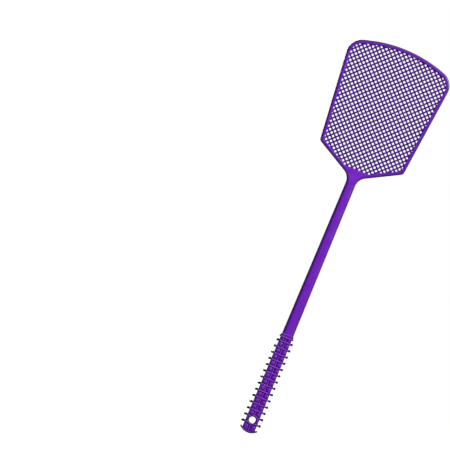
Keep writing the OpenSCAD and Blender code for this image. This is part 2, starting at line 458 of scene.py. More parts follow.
def across(half_width: Array, radius: float, round_steps: int = 7, flat_steps: int = 4) -> Array:
    """Positions across a strip, closer together where its two edges are rounded.

    In from either edge they lie at radius * (1 - cos(angle)) for even angles up to a quarter turn,
    and evenly between the two roundings.

    Args:
        half_width: Half the strip's width, one value per row.
        radius: How far the rounding reaches in from an edge.
        round_steps: Steps over one rounding.
        flat_steps: Steps over the flat between them.

    Returns:
        One row of positions per half width, from the left edge to the right one.
    """
    width = np.atleast_1d(half_width)[:, None]
    inset = radius * (1.0 - np.cos(quarter(round_steps)))[None, :]
    flat = np.linspace(-1.0, 1.0, flat_steps + 1)[None, 1:-1] * (width - radius)
    return np.hstack([-width + inset, flat, (width - inset)[:, ::-1]])


def two_faced(x: Array, half: Array, z: Array) -> Array:
    """Closed rings of a strip that is the same on both faces: along the front and back again.

    Args:
        x: Positions across, one row per ring.
        half: Half thickness at each position.
        z: Height of each ring, or of each position.

    Returns:
        Rings of points, twice as many as the positions across.
    """
    z = np.broadcast_to(z if z.ndim == 2 else z[:, None], x.shape)
    front = np.stack([x, -half, z], axis=-1)
    back = np.stack([x, half, z], axis=-1)
    return np.concatenate([front, back[:, ::-1]], axis=1)


def one_faced(x: Array, top: Array, base: float, z: Array, face: Face) -> Array:
    """Closed rings of a ridge on one face: along its top, and straight back along its base.

    Args:
        x: Positions across, one row per ring.
        top: Height of the top above the middle plane at each position.
        base: Height of the base above the middle plane.
        z: Height of each position.
        face: The face that the ridge stands on.

    Returns:
        Rings of points, two more than the positions across.
    """
    over = np.stack([x, face.value * top, z], axis=-1)
    ends = [-1, 0]
    under = np.stack([x[:, ends], np.full_like(x[:, ends], face.value * base), z[:, ends]], axis=-1)
    return np.concatenate([over, under], axis=1)


@dataclass
class Surface:
    """Closed surfaces gathered into one piece, with the painted shade of each point."""

    points: list[Array] = field(default_factory=list)
    faces: list[list[int]] = field(default_factory=list)
    painted_shade: list[Array] = field(default_factory=list)
    count: int = 0

    def add_rings(self, rings: Array, painted_shade: Array | float = 0.0, joined: bool = False) -> None:
        """Skins a run of closed rings, and turns the skin so that it faces outwards.

        Neighbouring rings are joined by four-sided faces. The volume that a skin encloses is the
        sum over its faces of one sixth of the triple product of their corners; where it comes out
        negative, every face is turned over.

        Args:
            rings: Points in millimetres, ring by ring, each ring with the same number.
            painted_shade: Painted shade of each point, or one value for all.
            joined: Whether the last ring joins the first; otherwise both end rings are capped.
        """
        count, size = rings.shape[:2]
        index = np.arange(count * size).reshape(count, size)
        lower = index if joined else index[:-1]
        upper = np.roll(index, -1, axis=0) if joined else index[1:]
        quads = np.stack(
            [lower, np.roll(lower, -1, axis=1), np.roll(upper, -1, axis=1), upper], axis=-1,
        ).reshape(-1, 4)
        flat = rings.reshape(-1, 3)
        caps = [] if joined else [index[0][::-1], index[-1]]
        volume = sum(self._volume(flat, polygon) for polygon in [quads, *(c[None] for c in caps)])
        turn = slice(None, None, -1 if volume < 0.0 else 1)
        self.faces += (quads[:, turn] + self.count).tolist()
        self.faces += [(cap[turn] + self.count).tolist() for cap in caps]
        self.points.append(flat)
        self.painted_shade.append(np.broadcast_to(painted_shade, (count, size)).reshape(-1))
        self.count += len(flat)

    @staticmethod
    def _volume(points: Array, polygons: Array) -> float:
        """Six times the signed volume under a set of polygons, each fanned from its first corner.

        Args:
            points: All the corners' places.
            polygons: Corner numbers, one row per polygon.

        Returns:
            The sum of the triple products of the fans' triangles.
        """
        corners = points[polygons]
        first = corners[:, :1]
        return float(np.einsum("ijk,ijk->", np.broadcast_to(first, corners[:, 2:].shape),
                               np.cross(corners[:, 1:-1], corners[:, 2:])))

    def piece(self, name: str, material: bpy.types.Material) -> bpy.types.Object:
        """Makes the mesh object, smooth except across sharp angles.

        Args:
            name: The object's name.
            material: Its material.

        Returns:
            The object, at the origin, with its place in its mesh.
        """
        mesh = bpy.data.meshes.new(name)
        mesh.from_pydata(np.concatenate(self.points) * MM, [], self.faces)
        # The painted shade goes into the mesh as a point attribute.
        painted_shade_layer = mesh.attributes.new(PAINTED_SHADE_ATTRIBUTE, "FLOAT", "POINT")
        painted_shade_layer.data.foreach_set("value", np.concatenate(self.painted_shade).astype(np.float32))
        mesh.materials.append(material)
        mesh.shade_smooth()
        mesh.set_sharp_from_angle(angle=SHARP_ANGLE)
        made = bpy.data.objects.new(name, mesh)
        bpy.context.scene.collection.objects.link(made)
        return made


@dataclass
class SubAssembly:
    """A group of neighbouring pieces of the moulding that are built and dressed together."""

    materials: dict[str, bpy.types.Material] = field(default_factory=dict, kw_only=True)

    def add(self, name: str, surface: Surface, finish: MouldedPolypropylene, node: str) -> None:
        """Turns a surface into a finished piece that stands for a CAD node.

        Args:
            name: The piece's name.
            surface: Its closed surface.
            finish: What it is made of.
            node: The CAD node that it stands for.
        """
        if finish.name not in self.materials:
            self.materials[finish.name] = finish.material()
        made = surface.piece(name, self.materials[finish.name])
        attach(made, BODY)
        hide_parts(node)
        log.info("%s stands for %s: %d faces", name, node, len(surface.faces))


# ---------------------------------------------------------------------------------------------
# Head
# ---------------------------------------------------------------------------------------------

@dataclass
class HeadOutline:
    """The edge of the head in the XZ plane: straight lower edges and sides, joined by arcs.

    An inset moves every edge inwards by the same distance, so the same lines give the outside of
    the rim, the opening inside it, and every line between the two.
    """

    crown_z: float
    height: float = 125.2
    width_bottom: float = 97.2
    lower_rise: float = math.radians(28.7)
    side_lean: float = math.radians(5.9)
    crown_radius: float = 146.0
    upper_radius: float = 17.0
    lower_radius: float = 4.5
    sharpest_radius: float = 0.3
    lower_steps: int = 10
    upper_steps: int = 28
    crown_steps: int = 30

    @property
    def corner_z(self) -> float:
        """Height at which the lower edge and the side would meet without their rounding."""
        return self.crown_z - self.height

    @property
    def edge_z(self) -> float:
        """Height at which the lower edge's line crosses the centre line."""
        return self.corner_z - self.width_bottom / 2.0 * math.tan(self.lower_rise)

    def lower_edge_at(self, x: Array | float, inset: float) -> Array | float:
        """Height of the inset lower edge at x, on the right side."""
        return self.edge_z + x * math.tan(self.lower_rise) + inset / math.cos(self.lower_rise)

    def lower_edge_x(self, z: Array | float, inset: float) -> Array | float:
        """The x at which the inset lower edge reaches height z, on the right side."""
        rise = z - self.edge_z - inset / math.cos(self.lower_rise)
        return rise / math.tan(self.lower_rise)

    def _lower_corner(self, inset: float, radius: float) -> Array:
        """Centre of the lower corner: the point at inset + radius inside both of its edges.

        Args:
            inset: Distance inwards from the outside.
            radius: The corner's radius at that inset.

        Returns:
            The centre in X and Z.
        """
        edge = np.array([math.sin(self.lower_rise), -math.cos(self.lower_rise)])
        side = np.array([math.cos(self.side_lean), -math.sin(self.side_lean)])
        normals = np.stack([edge, side])
        vertex = np.array([self.width_bottom / 2.0, self.corner_z])
        return np.linalg.solve(normals, normals @ vertex - (inset + radius))

    def _upper_corner(self) -> Array:
        """Centre of the upper corner: inside the side by its radius, and within the crown's circle.

        It is where a line along the side, moved in by the corner's radius, meets the circle about
        the crown's centre whose radius is the crown's less the corner's.

        Returns:
            The centre in X and Z.
        """
        side = np.array([math.sin(self.side_lean), math.cos(self.side_lean)])
        inwards = np.array([-math.cos(self.side_lean), math.sin(self.side_lean)])
        start = np.array([self.width_bottom / 2.0, self.corner_z]) + self.upper_radius * inwards
        from_crown = start - np.array([0.0, self.crown_z - self.crown_radius])
        reach = self.crown_radius - self.upper_radius
        along = float(side @ from_crown)
        return start + side * (-along + math.sqrt(along ** 2 - from_crown @ from_crown + reach ** 2))

    @staticmethod
    def _arc(centre: Array, radius: float, first: float, last: float, steps: int) -> Array:
        """Points on an arc: the centre plus radius times (cos, sin) of even angles."""
        angle = np.linspace(first, last, steps + 1)
        return centre + radius * np.stack([np.cos(angle), np.sin(angle)], axis=-1)

    def half(self, inset: float, start_x: float) -> Array:
        """The right half of the inset outline, from the lower edge round to the crown.

        Args:
            inset: Distance inwards from the outside.
            start_x: Where on the lower edge the half starts.

        Returns:
            Points in X and Z.
        """
        low = max(self.lower_radius - inset, self.sharpest_radius)
        upper = self._upper_corner()
        crown = np.array([0.0, self.crown_z - self.crown_radius])
        turn = math.atan2(upper[1] - crown[1], upper[0])
        return np.concatenate([
            [[start_x, self.lower_edge_at(start_x, inset)]],
            self._arc(self._lower_corner(inset, low), low,
                      self.lower_rise - math.pi / 2.0, -self.side_lean, self.lower_steps),
            self._arc(upper, self.upper_radius - inset, -self.side_lean, turn, self.upper_steps)[:-1],
            self._arc(crown, self.crown_radius - inset, turn, math.pi / 2.0, self.crown_steps),
        ])

    def whole(self, inset: float, start_x: float) -> Array:
        """The right half of the inset outline, and its mirror image back down to the neck.

        Args:
            inset: Distance inwards from the outside.
            start_x: Where on the lower edges the outline starts and ends.

        Returns:
            Points in X and Z, anticlockwise as seen from the front.
        """
        right = self.half(inset, start_x)
        return np.concatenate([right, (right * [-1.0, 1.0])[-2::-1]])


@dataclass
class RoundedEdges:
    """The rounding that the rim, the neck plate and the shaft share."""

    outer_radius: float = 1.7
    outer_land: float = 0.22
    inner_radius: float = 0.7
    inner_land: float = 0.95


@dataclass
class Head(SubAssembly):
    """The meshed head: a rounded rim, and two layers of strands that cross inside it."""

    outline: HeadOutline
    edges: RoundedEdges
    rim_width: float = 4.0
    strand_pitch: float = 4.04
    strand_width: float = 1.76
    strand_overlap: float = 0.05
    crossing_rise: float = 1.2
    keyed: float = 0.6
    crossing_fillet: float = 0.34
    fillet_reach: float = 0.72
    root_flare: float = 0.4
    root_reach: float = 0.7
    steps_per_pitch: int = 8
    profile_steps: int = 7
    crown_power: float = 0.72

    def build(self) -> None:
        """Builds the rim and both layers of strands."""
        neck = Extent.of("neck_plate")
        self.add("rounded_rim", self._rim(neck.half_width), RIM_FINISH, "head_rim")
        for face, node in ((Face.FRONT, "mesh_front_strands"), (Face.BACK, "mesh_back_strands")):
            name = f"{face.name.lower()}_strands"
            self.add(name, self._strands(face, node, neck.top), MESH_FINISH, node)

    def _rim(self, start_x: float) -> Surface:
        """Carries the rim's profile round the head's outline.

        At inset v the profile's half thickness is the outer rounding for distance v, or the inner
        one for distance width - v, whichever is less.

        Args:
            start_x: Where the rim starts beside the neck plate.

        Returns:
            The rim's surface.
        """
        half = Extent.of("head_rim").half_depth
        edges = self.edges
        outer = edges.outer_radius * (1.0 - np.cos(quarter(8)))
        inner = self.rim_width - edges.inner_radius * (1.0 - np.cos(quarter(5)))[::-1]
        inset = np.concatenate([outer, inner])
        thick = np.minimum(
            rounded_edge(inset, half, edges.outer_land, edges.outer_radius),
            rounded_edge(self.rim_width - inset, half, edges.inner_land, edges.inner_radius),
        )
        lines = np.stack([self.outline.whole(v, start_x) for v in inset], axis=1)
        x, z = lines[..., 0], lines[..., 1]
        # Painted shade along the rim's outer rounding, full at the edge.
        painted_shade = np.broadcast_to(painted_edge_shade(inset, edges.outer_radius), x.shape)
        surface = Surface()
        surface.add_rings(
            two_faced(x, np.broadcast_to(thick, x.shape), z), np.hstack([painted_shade, painted_shade[:, ::-1]]))
        return surface

    def _strand_runs(self, direction: Array, offset: Array, neck_top: float) -> tuple[Array, Array, Array]:
        """Cuts every strand's centre line to the opening, which is convex.

        Against each edge of the opening, with inward normal n and a point q on it, a line through c
        along d is inside while n.(c + t d - q) > 0, which bounds t from below where n.d > 0 and from
        above where n.d < 0.

        Args:
            direction: The strands' direction in X and Z.
            offset: The step from one strand to the next.
            neck_top: Height of the neck plate's upper edge.

        Returns:
            Each strand's number, and where it starts and ends along its direction from its foot.
        """
        inset = self.rim_width - self.keyed
        floor = neck_top - self.keyed
        corners = self.outline.whole(inset, self.outline.lower_edge_x(floor, inset))
        edge = np.roll(corners, -1, axis=0) - corners
        normal = np.stack([-edge[:, 1], edge[:, 0]], axis=-1)
        count = int(3.0 * self.outline.height / self.strand_pitch)
        number = np.arange(-count, count + 1)
        foot = np.array([0.0, neck_top + self.crossing_rise]) + number[:, None] * offset
        reach = np.einsum("jk,ijk->ij", normal, corners[None] - foot[:, None])
        slope = normal @ direction
        bound = reach / np.where(np.abs(slope) < 1e-9, 1e-9, slope)
        start = np.where(slope > 0.0, bound, -np.inf).max(axis=1)
        end = np.where(slope < 0.0, bound, np.inf).min(axis=1)
        kept = end - start > self.strand_width
        return number[kept], start[kept], end[kept]

    def _strands(self, face: Face, node: str, neck_top: float) -> Surface:
        """Carries a D-shaped profile along each strand of one layer.

        Across a strand the profile is (w cos a, h sin(a)^p) for a from 0 to half a turn. Its half
        width w is wider by a fillet * exp(-(s / reach)^2) at distance s from a crossing, and by a
        flare of the same form at both ends, where the strand runs into the rim.

        Args:
            face: The face that the layer bulges towards.
            node: The CAD node that it stands for.
            neck_top: Height of the neck plate's upper edge.

        Returns:
            The layer's surface.
        """
        box = Extent.of(node)
        height = max(abs(float(box.low[1])), abs(float(box.high[1])))
        lean = face.value * math.pi / 4.0
        direction = np.array([-math.sin(lean), math.cos(lean)])
        sideways = np.array([math.cos(lean), math.sin(lean)])
        pitch = self.strand_pitch
        crossing = np.array([0.0, neck_top + self.crossing_rise])
        angle = np.linspace(0.0, math.pi, self.profile_steps + 1)
        bulge = height * np.sin(angle) ** self.crown_power
        bulge[[0, -1]] = -self.strand_overlap
        surface = Surface()
        for number, start, end in zip(*self._strand_runs(direction, pitch * sideways, neck_top)):
            step = pitch / self.steps_per_pitch
            inner = np.arange(math.ceil(start / step) + 1, math.floor(end / step)) * step
            along = np.concatenate([[start], inner, [end]])
            near = np.abs(along - np.round(along / pitch) * pitch)
            root = np.minimum(along - start, end - along)
            half = (
                self.strand_width / 2.0
                + self.crossing_fillet * np.exp(-((near / self.fillet_reach) ** 2))
                + self.root_flare * np.exp(-((np.maximum(root - self.keyed, 0.0) / self.root_reach) ** 2))
            )
            middle = crossing + number * pitch * sideways + along[:, None] * direction
            spread = half[:, None] * np.cos(angle)
            plane = middle[:, None, :] + spread[..., None] * sideways
            rise = np.broadcast_to(face.value * bulge, spread.shape)
            surface.add_rings(np.stack([plane[..., 0], rise, plane[..., 1]], axis=-1))
        return surface


# ---------------------------------------------------------------------------------------------
# Handle
# ---------------------------------------------------------------------------------------------

@dataclass
class Handle(SubAssembly):
    """The neck plate that spreads into the head, the tapered shaft, and the collar over the grip."""

    outline: HeadOutline
    edges: RoundedEdges
    rim_half_thickness: float
    shaft_half_top: float = 5.5
    bevel_reach: float = 2.7
    bevel_power: float = 1.25
    shaft_depth_of_edge: float = 1.7
    # Painted shade on the bevels of the neck and shaft: full along a band at the very edge, then a lighter share
    # over the rest of the bevel, fading out near its inner end.
    edge_line: float = 1.0
    bevel_painted_shade: float = 0.46
    bevel_fade_start: float = 0.75
    bevel_fade_length: float = 0.35
    fillet_radius: float = 13.0
    neck_columns: int = 41
    collar_lip: float = 0.16
    collar_foot_half: float = 6.85
    collar_front: float = 4.42
    bead_height: float = 0.5
    bead_reach: float = 0.10
    # Share of painted shade in the hollow between the beads.
    hollow_painted_shade: float = 0.62
    upper_bead: float = 0.77
    lower_bead: float = 0.13
    collar_radius: float = 1.5
    collar_land: float = 0.5
    collar_end: float = 0.95

    def build(self) -> None:
        """Builds the neck plate, the shaft and the collar."""
        self.add("filleted_neck", self._neck(), HANDLE_FINISH, "neck_plate")
        self.add("tapered_shaft", self._shaft(), HANDLE_FINISH, "shaft")
        self.add("beaded_collar", self._collar(), COLLAR_FINISH, "collar")

    def _neck(self) -> Surface:
        """Spreads the shaft's section into the head, between two fillets.

        A row at height z reaches out to the fillet's circle, then to the lower edge's line. Its half
        thickness follows the outer rounding for the distance to that circle or line, and the inner
        rounding for the distance below the upper edge, whichever gives less.

        Returns:
            The neck plate's surface.
        """
        box, outline, edges = Extent.of("neck_plate"), self.outline, self.edges
        radius, rise = self.fillet_radius, outline.lower_rise
        centre_x = self.shaft_half_top + radius
        fillet_z = box.bottom + radius * math.cos(rise)
        line_z = outline.lower_edge_at(box.half_width, 0.0)
        rows = np.concatenate([
            np.linspace(box.bottom, fillet_z, 40),
            np.linspace(fillet_z, line_z, 8)[1:],
            np.linspace(line_z, box.top - edges.inner_radius, 10)[1:],
            box.top - edges.inner_radius * (1.0 - np.sin(quarter(6)[1:])),
        ])
        arc = centre_x - np.sqrt(np.maximum(radius ** 2 - (rows - box.bottom) ** 2, 0.0))
        line = outline.lower_edge_x(rows, 0.0)
        side = np.where(rows <= fillet_z, arc, np.minimum(line, box.half_width))
        spread = np.sin(np.linspace(-math.pi / 2.0, math.pi / 2.0, self.neck_columns))
        x = side[:, None] * spread
        z = np.broadcast_to(rows[:, None], x.shape)
        from_centre = np.stack([np.abs(x) - centre_x, z - box.bottom])
        beside_arc = np.arctan2(from_centre[1], from_centre[0]) > math.pi / 2.0 + rise
        to_arc = np.hypot(*from_centre) - radius
        to_line = (z - outline.lower_edge_at(np.abs(x), 0.0)) * math.cos(rise)
        distance = np.maximum(np.where(beside_arc, to_arc, to_line), 0.0)
        thinning = smooth_step((z - box.bottom) / (fillet_z - box.bottom))
        full = box.half_depth + (self.rim_half_thickness - box.half_depth) * thinning
        below_top = rows.max() - z
        angle = np.arccos(np.clip(1.0 - below_top / edges.inner_radius, -1.0, 1.0))
        inner = np.where(
            below_top < edges.inner_radius,
            edges.inner_land + (full - edges.inner_land) * np.sin(angle), full)
        reach = self.bevel_reach + (edges.outer_radius - self.bevel_reach) * thinning
        power = self.bevel_power + (2.0 - self.bevel_power) * thinning
        half = np.minimum(rounded_edge(distance, full, edges.outer_land, reach, power), inner)
        painted_shade = self._bevel_painted_shade(distance)
        surface = Surface()
        surface.add_rings(two_faced(x, half, rows), np.hstack([painted_shade, painted_shade[:, ::-1]]))
        return surface

    def _bevel_painted_shade(self, distance: Array) -> Array:
        """Painted shade: full along the very edge, and a lighter share of it over the rest of the bevel.

        Args:
            distance: Distances from the free edge.

        Returns:
            The painted shade at each distance.
        """
        past_fade = distance / self.bevel_reach - self.bevel_fade_start
        over_bevel = 1.0 - smooth_step(past_fade / self.bevel_fade_length)
        return np.maximum(painted_edge_shade(distance, self.edge_line), self.bevel_painted_shade * over_bevel)

    def _shaft(self) -> Surface:
        """Tapers a strip with rounded edges from the collar to the neck.

        Half width and half thickness both change evenly with height, and the rounding of the edges
        keeps its size.

        Returns:
            The shaft's surface.
        """
        box, neck = Extent.of("shaft"), Extent.of("neck_plate")
        share = np.linspace(0.0, 1.0, 61)
        width = box.half_width + (self.shaft_half_top - box.half_width) * share
        full = (box.half_depth + (neck.half_depth - box.half_depth) * share)[:, None]
        x = across(width, self.bevel_reach, 12)
        distance = width[:, None] - np.abs(x)
        land = np.maximum(full - self.shaft_depth_of_edge, self.edges.outer_land)
        half = rounded_edge(distance, full, land, self.bevel_reach, self.bevel_power)
        painted_shade = self._bevel_painted_shade(distance)
        surface = Surface()
        surface.add_rings(
            two_faced(x, half, box.bottom + (box.top - box.bottom) * share),
            np.hstack([painted_shade, painted_shade[:, ::-1]]))
        return surface

    def _collar(self) -> Surface:
        """Flares the shaft into a skirt with two beads round it and a lip at its foot.

        With s running from 0 at the foot to 1 at the top, the half width falls evenly from the lip
        to the shaft, and rounds in under the lip. The half depth holds its height until close under
        the top, as the sixth root of 1 - s^8, and each bead adds height * exp(-((s - s0) / reach)^2).

        Returns:
            The collar's surface.
        """
        box, shaft = Extent.of("collar"), Extent.of("shaft")
        share = np.linspace(0.0, 1.0, 57)
        flare = np.clip((share - self.collar_lip) / (1.0 - self.collar_lip), 0.0, 1.0)
        under = np.sqrt(1.0 - (1.0 - np.clip(share / self.collar_lip, 0.0, 1.0)) ** 2)
        width = np.where(
            share < self.collar_lip,
            self.collar_foot_half + (box.half_width - self.collar_foot_half) * under,
            box.half_width + (shaft.half_width - box.half_width) * flare)
        held = np.maximum(1.0 - share ** 8, 0.0) ** (1.0 / 6.0)
        beads = sum(np.exp(-(((share - at) / self.bead_reach) ** 2))
                    for at in (self.upper_bead, self.lower_bead))
        depth = shaft.half_depth + held * (self.collar_front - shaft.half_depth + self.bead_height * beads)
        x = across(width, self.collar_radius)
        distance = width[:, None] - np.abs(x)
        land = np.maximum(depth - self.shaft_depth_of_edge, self.collar_land)[:, None]
        half = rounded_edge(distance, depth[:, None], land, self.collar_radius)
        # Painted shade in the hollows between the beads and along the collar's side edges.
        hollow = self.hollow_painted_shade * (1.0 - np.clip(beads, 0.0, 1.0))[:, None]
        ends = 1.0 - smooth_step((distance - self.collar_end) / self.collar_end)
        painted_shade = np.maximum(ends, hollow)
        surface = Surface()
        surface.add_rings(
            two_faced(x, half, box.bottom + (box.top - box.bottom) * share),
            np.hstack([painted_shade, painted_shade[:, ::-1]]))
        return surface


# ---------------------------------------------------------------------------------------------
# Grip
# ---------------------------------------------------------------------------------------------

@dataclass
class Grip(SubAssembly):
    """The ribbed hand grip: its body, raised pads and spines on both faces, and the finger ribs."""

    foot_thickness: float
    eye_overlap: float = 0.7
    foot_overlap: float = 0.4
    body_radius: float = 1.0
    body_land: float = 1.7
    # Painted shade: the body shows only in the grooves between the pads, spines and ribs, and is shaded in full
    # there.
    groove_painted_shade: float = 1.0
    pad_gap: float = 0.3
    pad_power: float = 2.1
    pad_end_power: float = 2.6
    pad_lip: float = 0.1
    # Painted shade on the pads: along the body's sides, and on their flanks where they fall away from the top.
    side_shade: float = 0.8
    flank_painted_shade: float = 0.6
    spine_radius: float = 0.55
    spine_shoulder: float = 0.75
    # Share of painted shade along the spine's shoulders.
    spine_painted_shade: float = 0.5
    rib_corner: float = 3.4
    top_reach: float = 3.0
    rib_front_bead: float = 0.95
    rib_side_bead: float = 1.4
    # Painted shade on the rib ends that stand out past the body and face sideways: where it starts, in from the
    # body's side, and how far it takes to reach full.
    tip_shade_start: float = 1.4
    tip_shade_reach: float = 2.4
    rib_web: float = 0.75
    rib_web_shares: tuple[float, ...] = (0.12, 0.24, 0.4, 0.6, 0.8, 1.0)
    rib_land: float = 0.35
    rib_face_steps: int = 8
    rib_root: float = 0.8
    stub_start: float = 3.9

    def __post_init__(self) -> None:
        """Reads the grip's own sizes from the frame."""
        self.core = Extent.of("grip_core")
        self.ribs = [Extent.of(name) for name in self.rib_nodes()]
        self.pad_top = Extent.of("grip_front_pads").high[1] - Extent.of("grip_front_pads").low[1]
        self.face_depth = self.core.half_depth + float(self.pad_top)
        self.spine_half = Extent.of("grip_front_spine").half_width
        self.eye_radius = Extent.of("hang_eye").half_width
        self.foot_radius = -Extent.of("end_flange").bottom - self.foot_thickness
        self.foot_z = -self.foot_radius
        self.top = Extent.of("collar").bottom
        top_half = self.ribs[-1].half_width - self.top_reach
        self.slope = (top_half - self.core.half_width) / (self.ribs[-1].middle - self.foot_z)

    @staticmethod
    def rib_nodes() -> list[str]:
        """The finger ribs' CAD nodes, lowest first."""
        return sorted(name for name in frame["nodes"] if name.startswith("grip_rib_"))

    def half_at(self, z: Array | float) -> Array | float:
        """Half the width of the grip's body at height z, which tapers evenly towards the collar."""
        return self.core.half_width + self.slope * (z - self.foot_z)

    def build(self) -> None:
        """Builds the body, the pads and spines of both faces, and the finger ribs."""
        self.add("grip_body", self._body(), GRIP_FINISH, "grip_core")
        for face in Face:
            word = face.name.lower()
            self.add(f"{word}_pads", self._pads(face), GRIP_FINISH, f"grip_{word}_pads")
            self.add(f"{word}_spine", self._spine(face), RIB_FINISH, f"grip_{word}_spine")
        for number, (node, box) in enumerate(zip(self.rib_nodes(), self.ribs), start=1):
            self.add(f"finger_rib_{number:02d}", self._rib(box), RIB_FINISH, node)

    def _body_half(self, x: Array, z: Array) -> Array:
        """Half thickness of the body at a point, rounded along both of its long edges."""
        distance = self.half_at(z) - np.abs(x)
        return rounded_edge(np.maximum(distance, 0.0), self.core.half_depth, self.body_land, self.body_radius)

    def _body(self) -> Surface:
        """Joins a plain tapered strip to a patch round the hang hole, which meet under a rib.

        The patch runs along rays from the hole's centre, from just inside the eye's ring out to
        the nearest of the two sides, the strip and the foot's circle.

        Returns:
            The body's surface.
        """
        split = self.ribs[2].middle
        rows = np.linspace(split, self.top, 40)
        x = across(self.half_at(rows), self.body_radius)
        surface = Surface()
        # Painted shade in full over the body, which shows only in the grooves.
        surface.add_rings(two_faced(x, self._body_half(x, rows[:, None]), rows), self.groove_painted_shade)

        across_zero, radius = self.half_at(0.0), self.foot_radius + self.foot_overlap
        product = across_zero * self.slope
        low = -product - math.sqrt(
            product ** 2 - (1.0 + self.slope ** 2) * (across_zero ** 2 - radius ** 2))
        low /= 1.0 + self.slope ** 2
        corners = [math.atan2(z, s.value * self.half_at(z)) for z in (split, low) for s in Side]
        angle = np.sort(np.concatenate([np.linspace(-math.pi, math.pi, 120, endpoint=False), corners]))
        cos, sin = np.cos(angle), np.sin(angle)
        to_side = across_zero / np.maximum(np.abs(cos) - self.slope * sin, 1e-6)
        to_split = np.where(sin > 1e-6, split / np.maximum(sin, 1e-6), np.inf)
        reach = np.minimum(np.minimum(to_side, to_split), radius)
        inner = self.eye_radius - self.eye_overlap
        share = np.sin(np.linspace(0.0, math.pi / 2.0, 12))
        ray = inner + (reach - inner)[:, None] * share
        x, z = ray * cos[:, None], ray * sin[:, None]
        surface.add_rings(two_faced(x, self._body_half(x, z), z), self.groove_painted_shade, joined=True)
        return surface

    def _pads(self, face: Face) -> Surface:
        """Fills each gap between two ribs with a pair of rounded cushions.

        With u across and v along a pad, both from -1 to 1, it rises by its height times
        (1 - |u|^p)^(1/p) * (1 - |v|^q)^(1/q). A pad beside the eye starts at the eye's circle, and
        the lowest pair ends at the foot's circle.

        Args:
            face: The face that the pads lie on.

        Returns:
            All the pads of that face.
        """
        gap = self.pad_gap
        beside_rib = self.rib_front_bead + gap
        floors = [None] + [box.middle + beside_rib for box in self.ribs]
        tops = [box.middle - beside_rib for box in self.ribs] + [self.top]
        u = np.sin(np.linspace(-math.pi / 2.0, math.pi / 2.0, 19))[None, :]
        v = np.sin(np.linspace(-math.pi / 2.0, math.pi / 2.0, 17))[:, None]
        rise = (1.0 - np.abs(u) ** self.pad_power) ** (1.0 / self.pad_power)
        rise = rise * (1.0 - np.abs(v) ** self.pad_end_power) ** (1.0 / self.pad_end_power)
        height = self.face_depth - self.core.half_depth - self.pad_lip
        surface = Surface()
        for floor, top in zip(floors, tops):
            flat_inner = self.spine_half + gap
            line = flat_inner + (self.half_at(top) - flat_inner) * (u + 1.0) / 2.0
            circle = -np.sqrt((self.foot_radius - gap / 2.0) ** 2 - line ** 2)
            low = circle if floor is None else np.full_like(line, floor)
            z = low + (top - low) * (v + 1.0) / 2.0
            eye = np.sqrt(np.maximum((self.eye_radius + gap / 2.0) ** 2 - z ** 2, 0.0))
            inner = np.maximum(eye, flat_inner)
            x = inner + (self.half_at(z) - inner) * (u + 1.0) / 2.0
            lift = self.core.half_depth + self.pad_lip + height * rise
            # Painted shade on each pad's flanks and along the body's side.
            hollow = np.maximum(
                self.flank_painted_shade * (1.0 - rise), painted_edge_shade(self.half_at(z) - x, self.side_shade))
            painted_shade = np.hstack([hollow, np.ones((len(z), 2))])
            for side in Side:
                rings = one_faced(side.value * x, lift, self.core.half_depth - gap, z, face)
                surface.add_rings(rings, painted_shade)
        return surface

    def _spine(self, face: Face) -> Surface:
        """Runs a narrow ridge with rounded shoulders down the middle of a face, clear of the eye.

        Args:
            face: The face that the ridge stands on.

        Returns:
            The ridge's two runs, below the eye and above it.
        """
        surface = Surface()
        start = self.eye_radius - self.eye_overlap
        for low, high, steps in ((self.foot_z - self.foot_overlap, -start, 6), (start, self.top, 60)):
            rows = np.linspace(low, high, steps)
            x = across(np.full(len(rows), self.spine_half), self.spine_radius, 5, 2)
            distance = self.spine_half - np.abs(x)
            land = self.face_depth - self.spine_shoulder
            lift = rounded_edge(distance, self.face_depth, land, self.spine_radius)
            # Painted shade along the spine's rounded shoulders.
            edge = self.spine_painted_shade * painted_edge_shade(distance, self.spine_radius / 2.0)
            painted_shade = np.hstack([edge, np.ones((len(rows), 2))])
            z = np.broadcast_to(rows[:, None], x.shape)
            surface.add_rings(one_faced(x, lift, self.core.half_depth - self.pad_gap, z, face), painted_shade)
        return surface

    def _rib_outline(self, half_width: float, half_depth: float, corner: float,
                     start_x: float | None) -> tuple[Array, Array]:
        """A rounded rectangle about the grip, seen from above, or only its part beside the eye.

        Args:
            half_width: Half its size along X.
            half_depth: Half its size along Y.
            corner: Radius of its corners.
            start_x: Where a stub starts on both faces, or nothing for a whole rib.

        Returns:
            The points in X and Y, and the outward normal at each, anticlockwise from the front.
        """
        turn = np.concatenate([quarter(12) - math.pi / 2.0, quarter(12)])
        normal = np.stack([np.cos(turn), np.sin(turn)], axis=-1)
        centre = np.array([half_width - corner, half_depth - corner])
        bend = centre * np.where(np.arange(len(turn))[:, None] < len(turn) / 2, [1.0, -1.0], 1.0)
        bend = bend + corner * normal
        start = 0.0 if start_x is None else start_x
        flat = np.linspace(start, centre[0], self.rib_face_steps, endpoint=False)[:, None]
        front, back = flat * [1.0, 0.0] + [0.0, -half_depth], flat[::-1] * [1.0, 0.0] + [0.0, half_depth]
        right = np.vstack([front, bend, back])
        facing = np.repeat([[0.0, -1.0]], len(flat), axis=0)
        right_normal = np.vstack([facing, normal, -facing])
        if start_x is not None:
            return right, right_normal
        left, left_normal = (right * [-1.0, 1.0])[-2:0:-1], (right_normal * [-1.0, 1.0])[-2:0:-1]
        return np.vstack([right, left]), np.vstack([right_normal, left_normal])

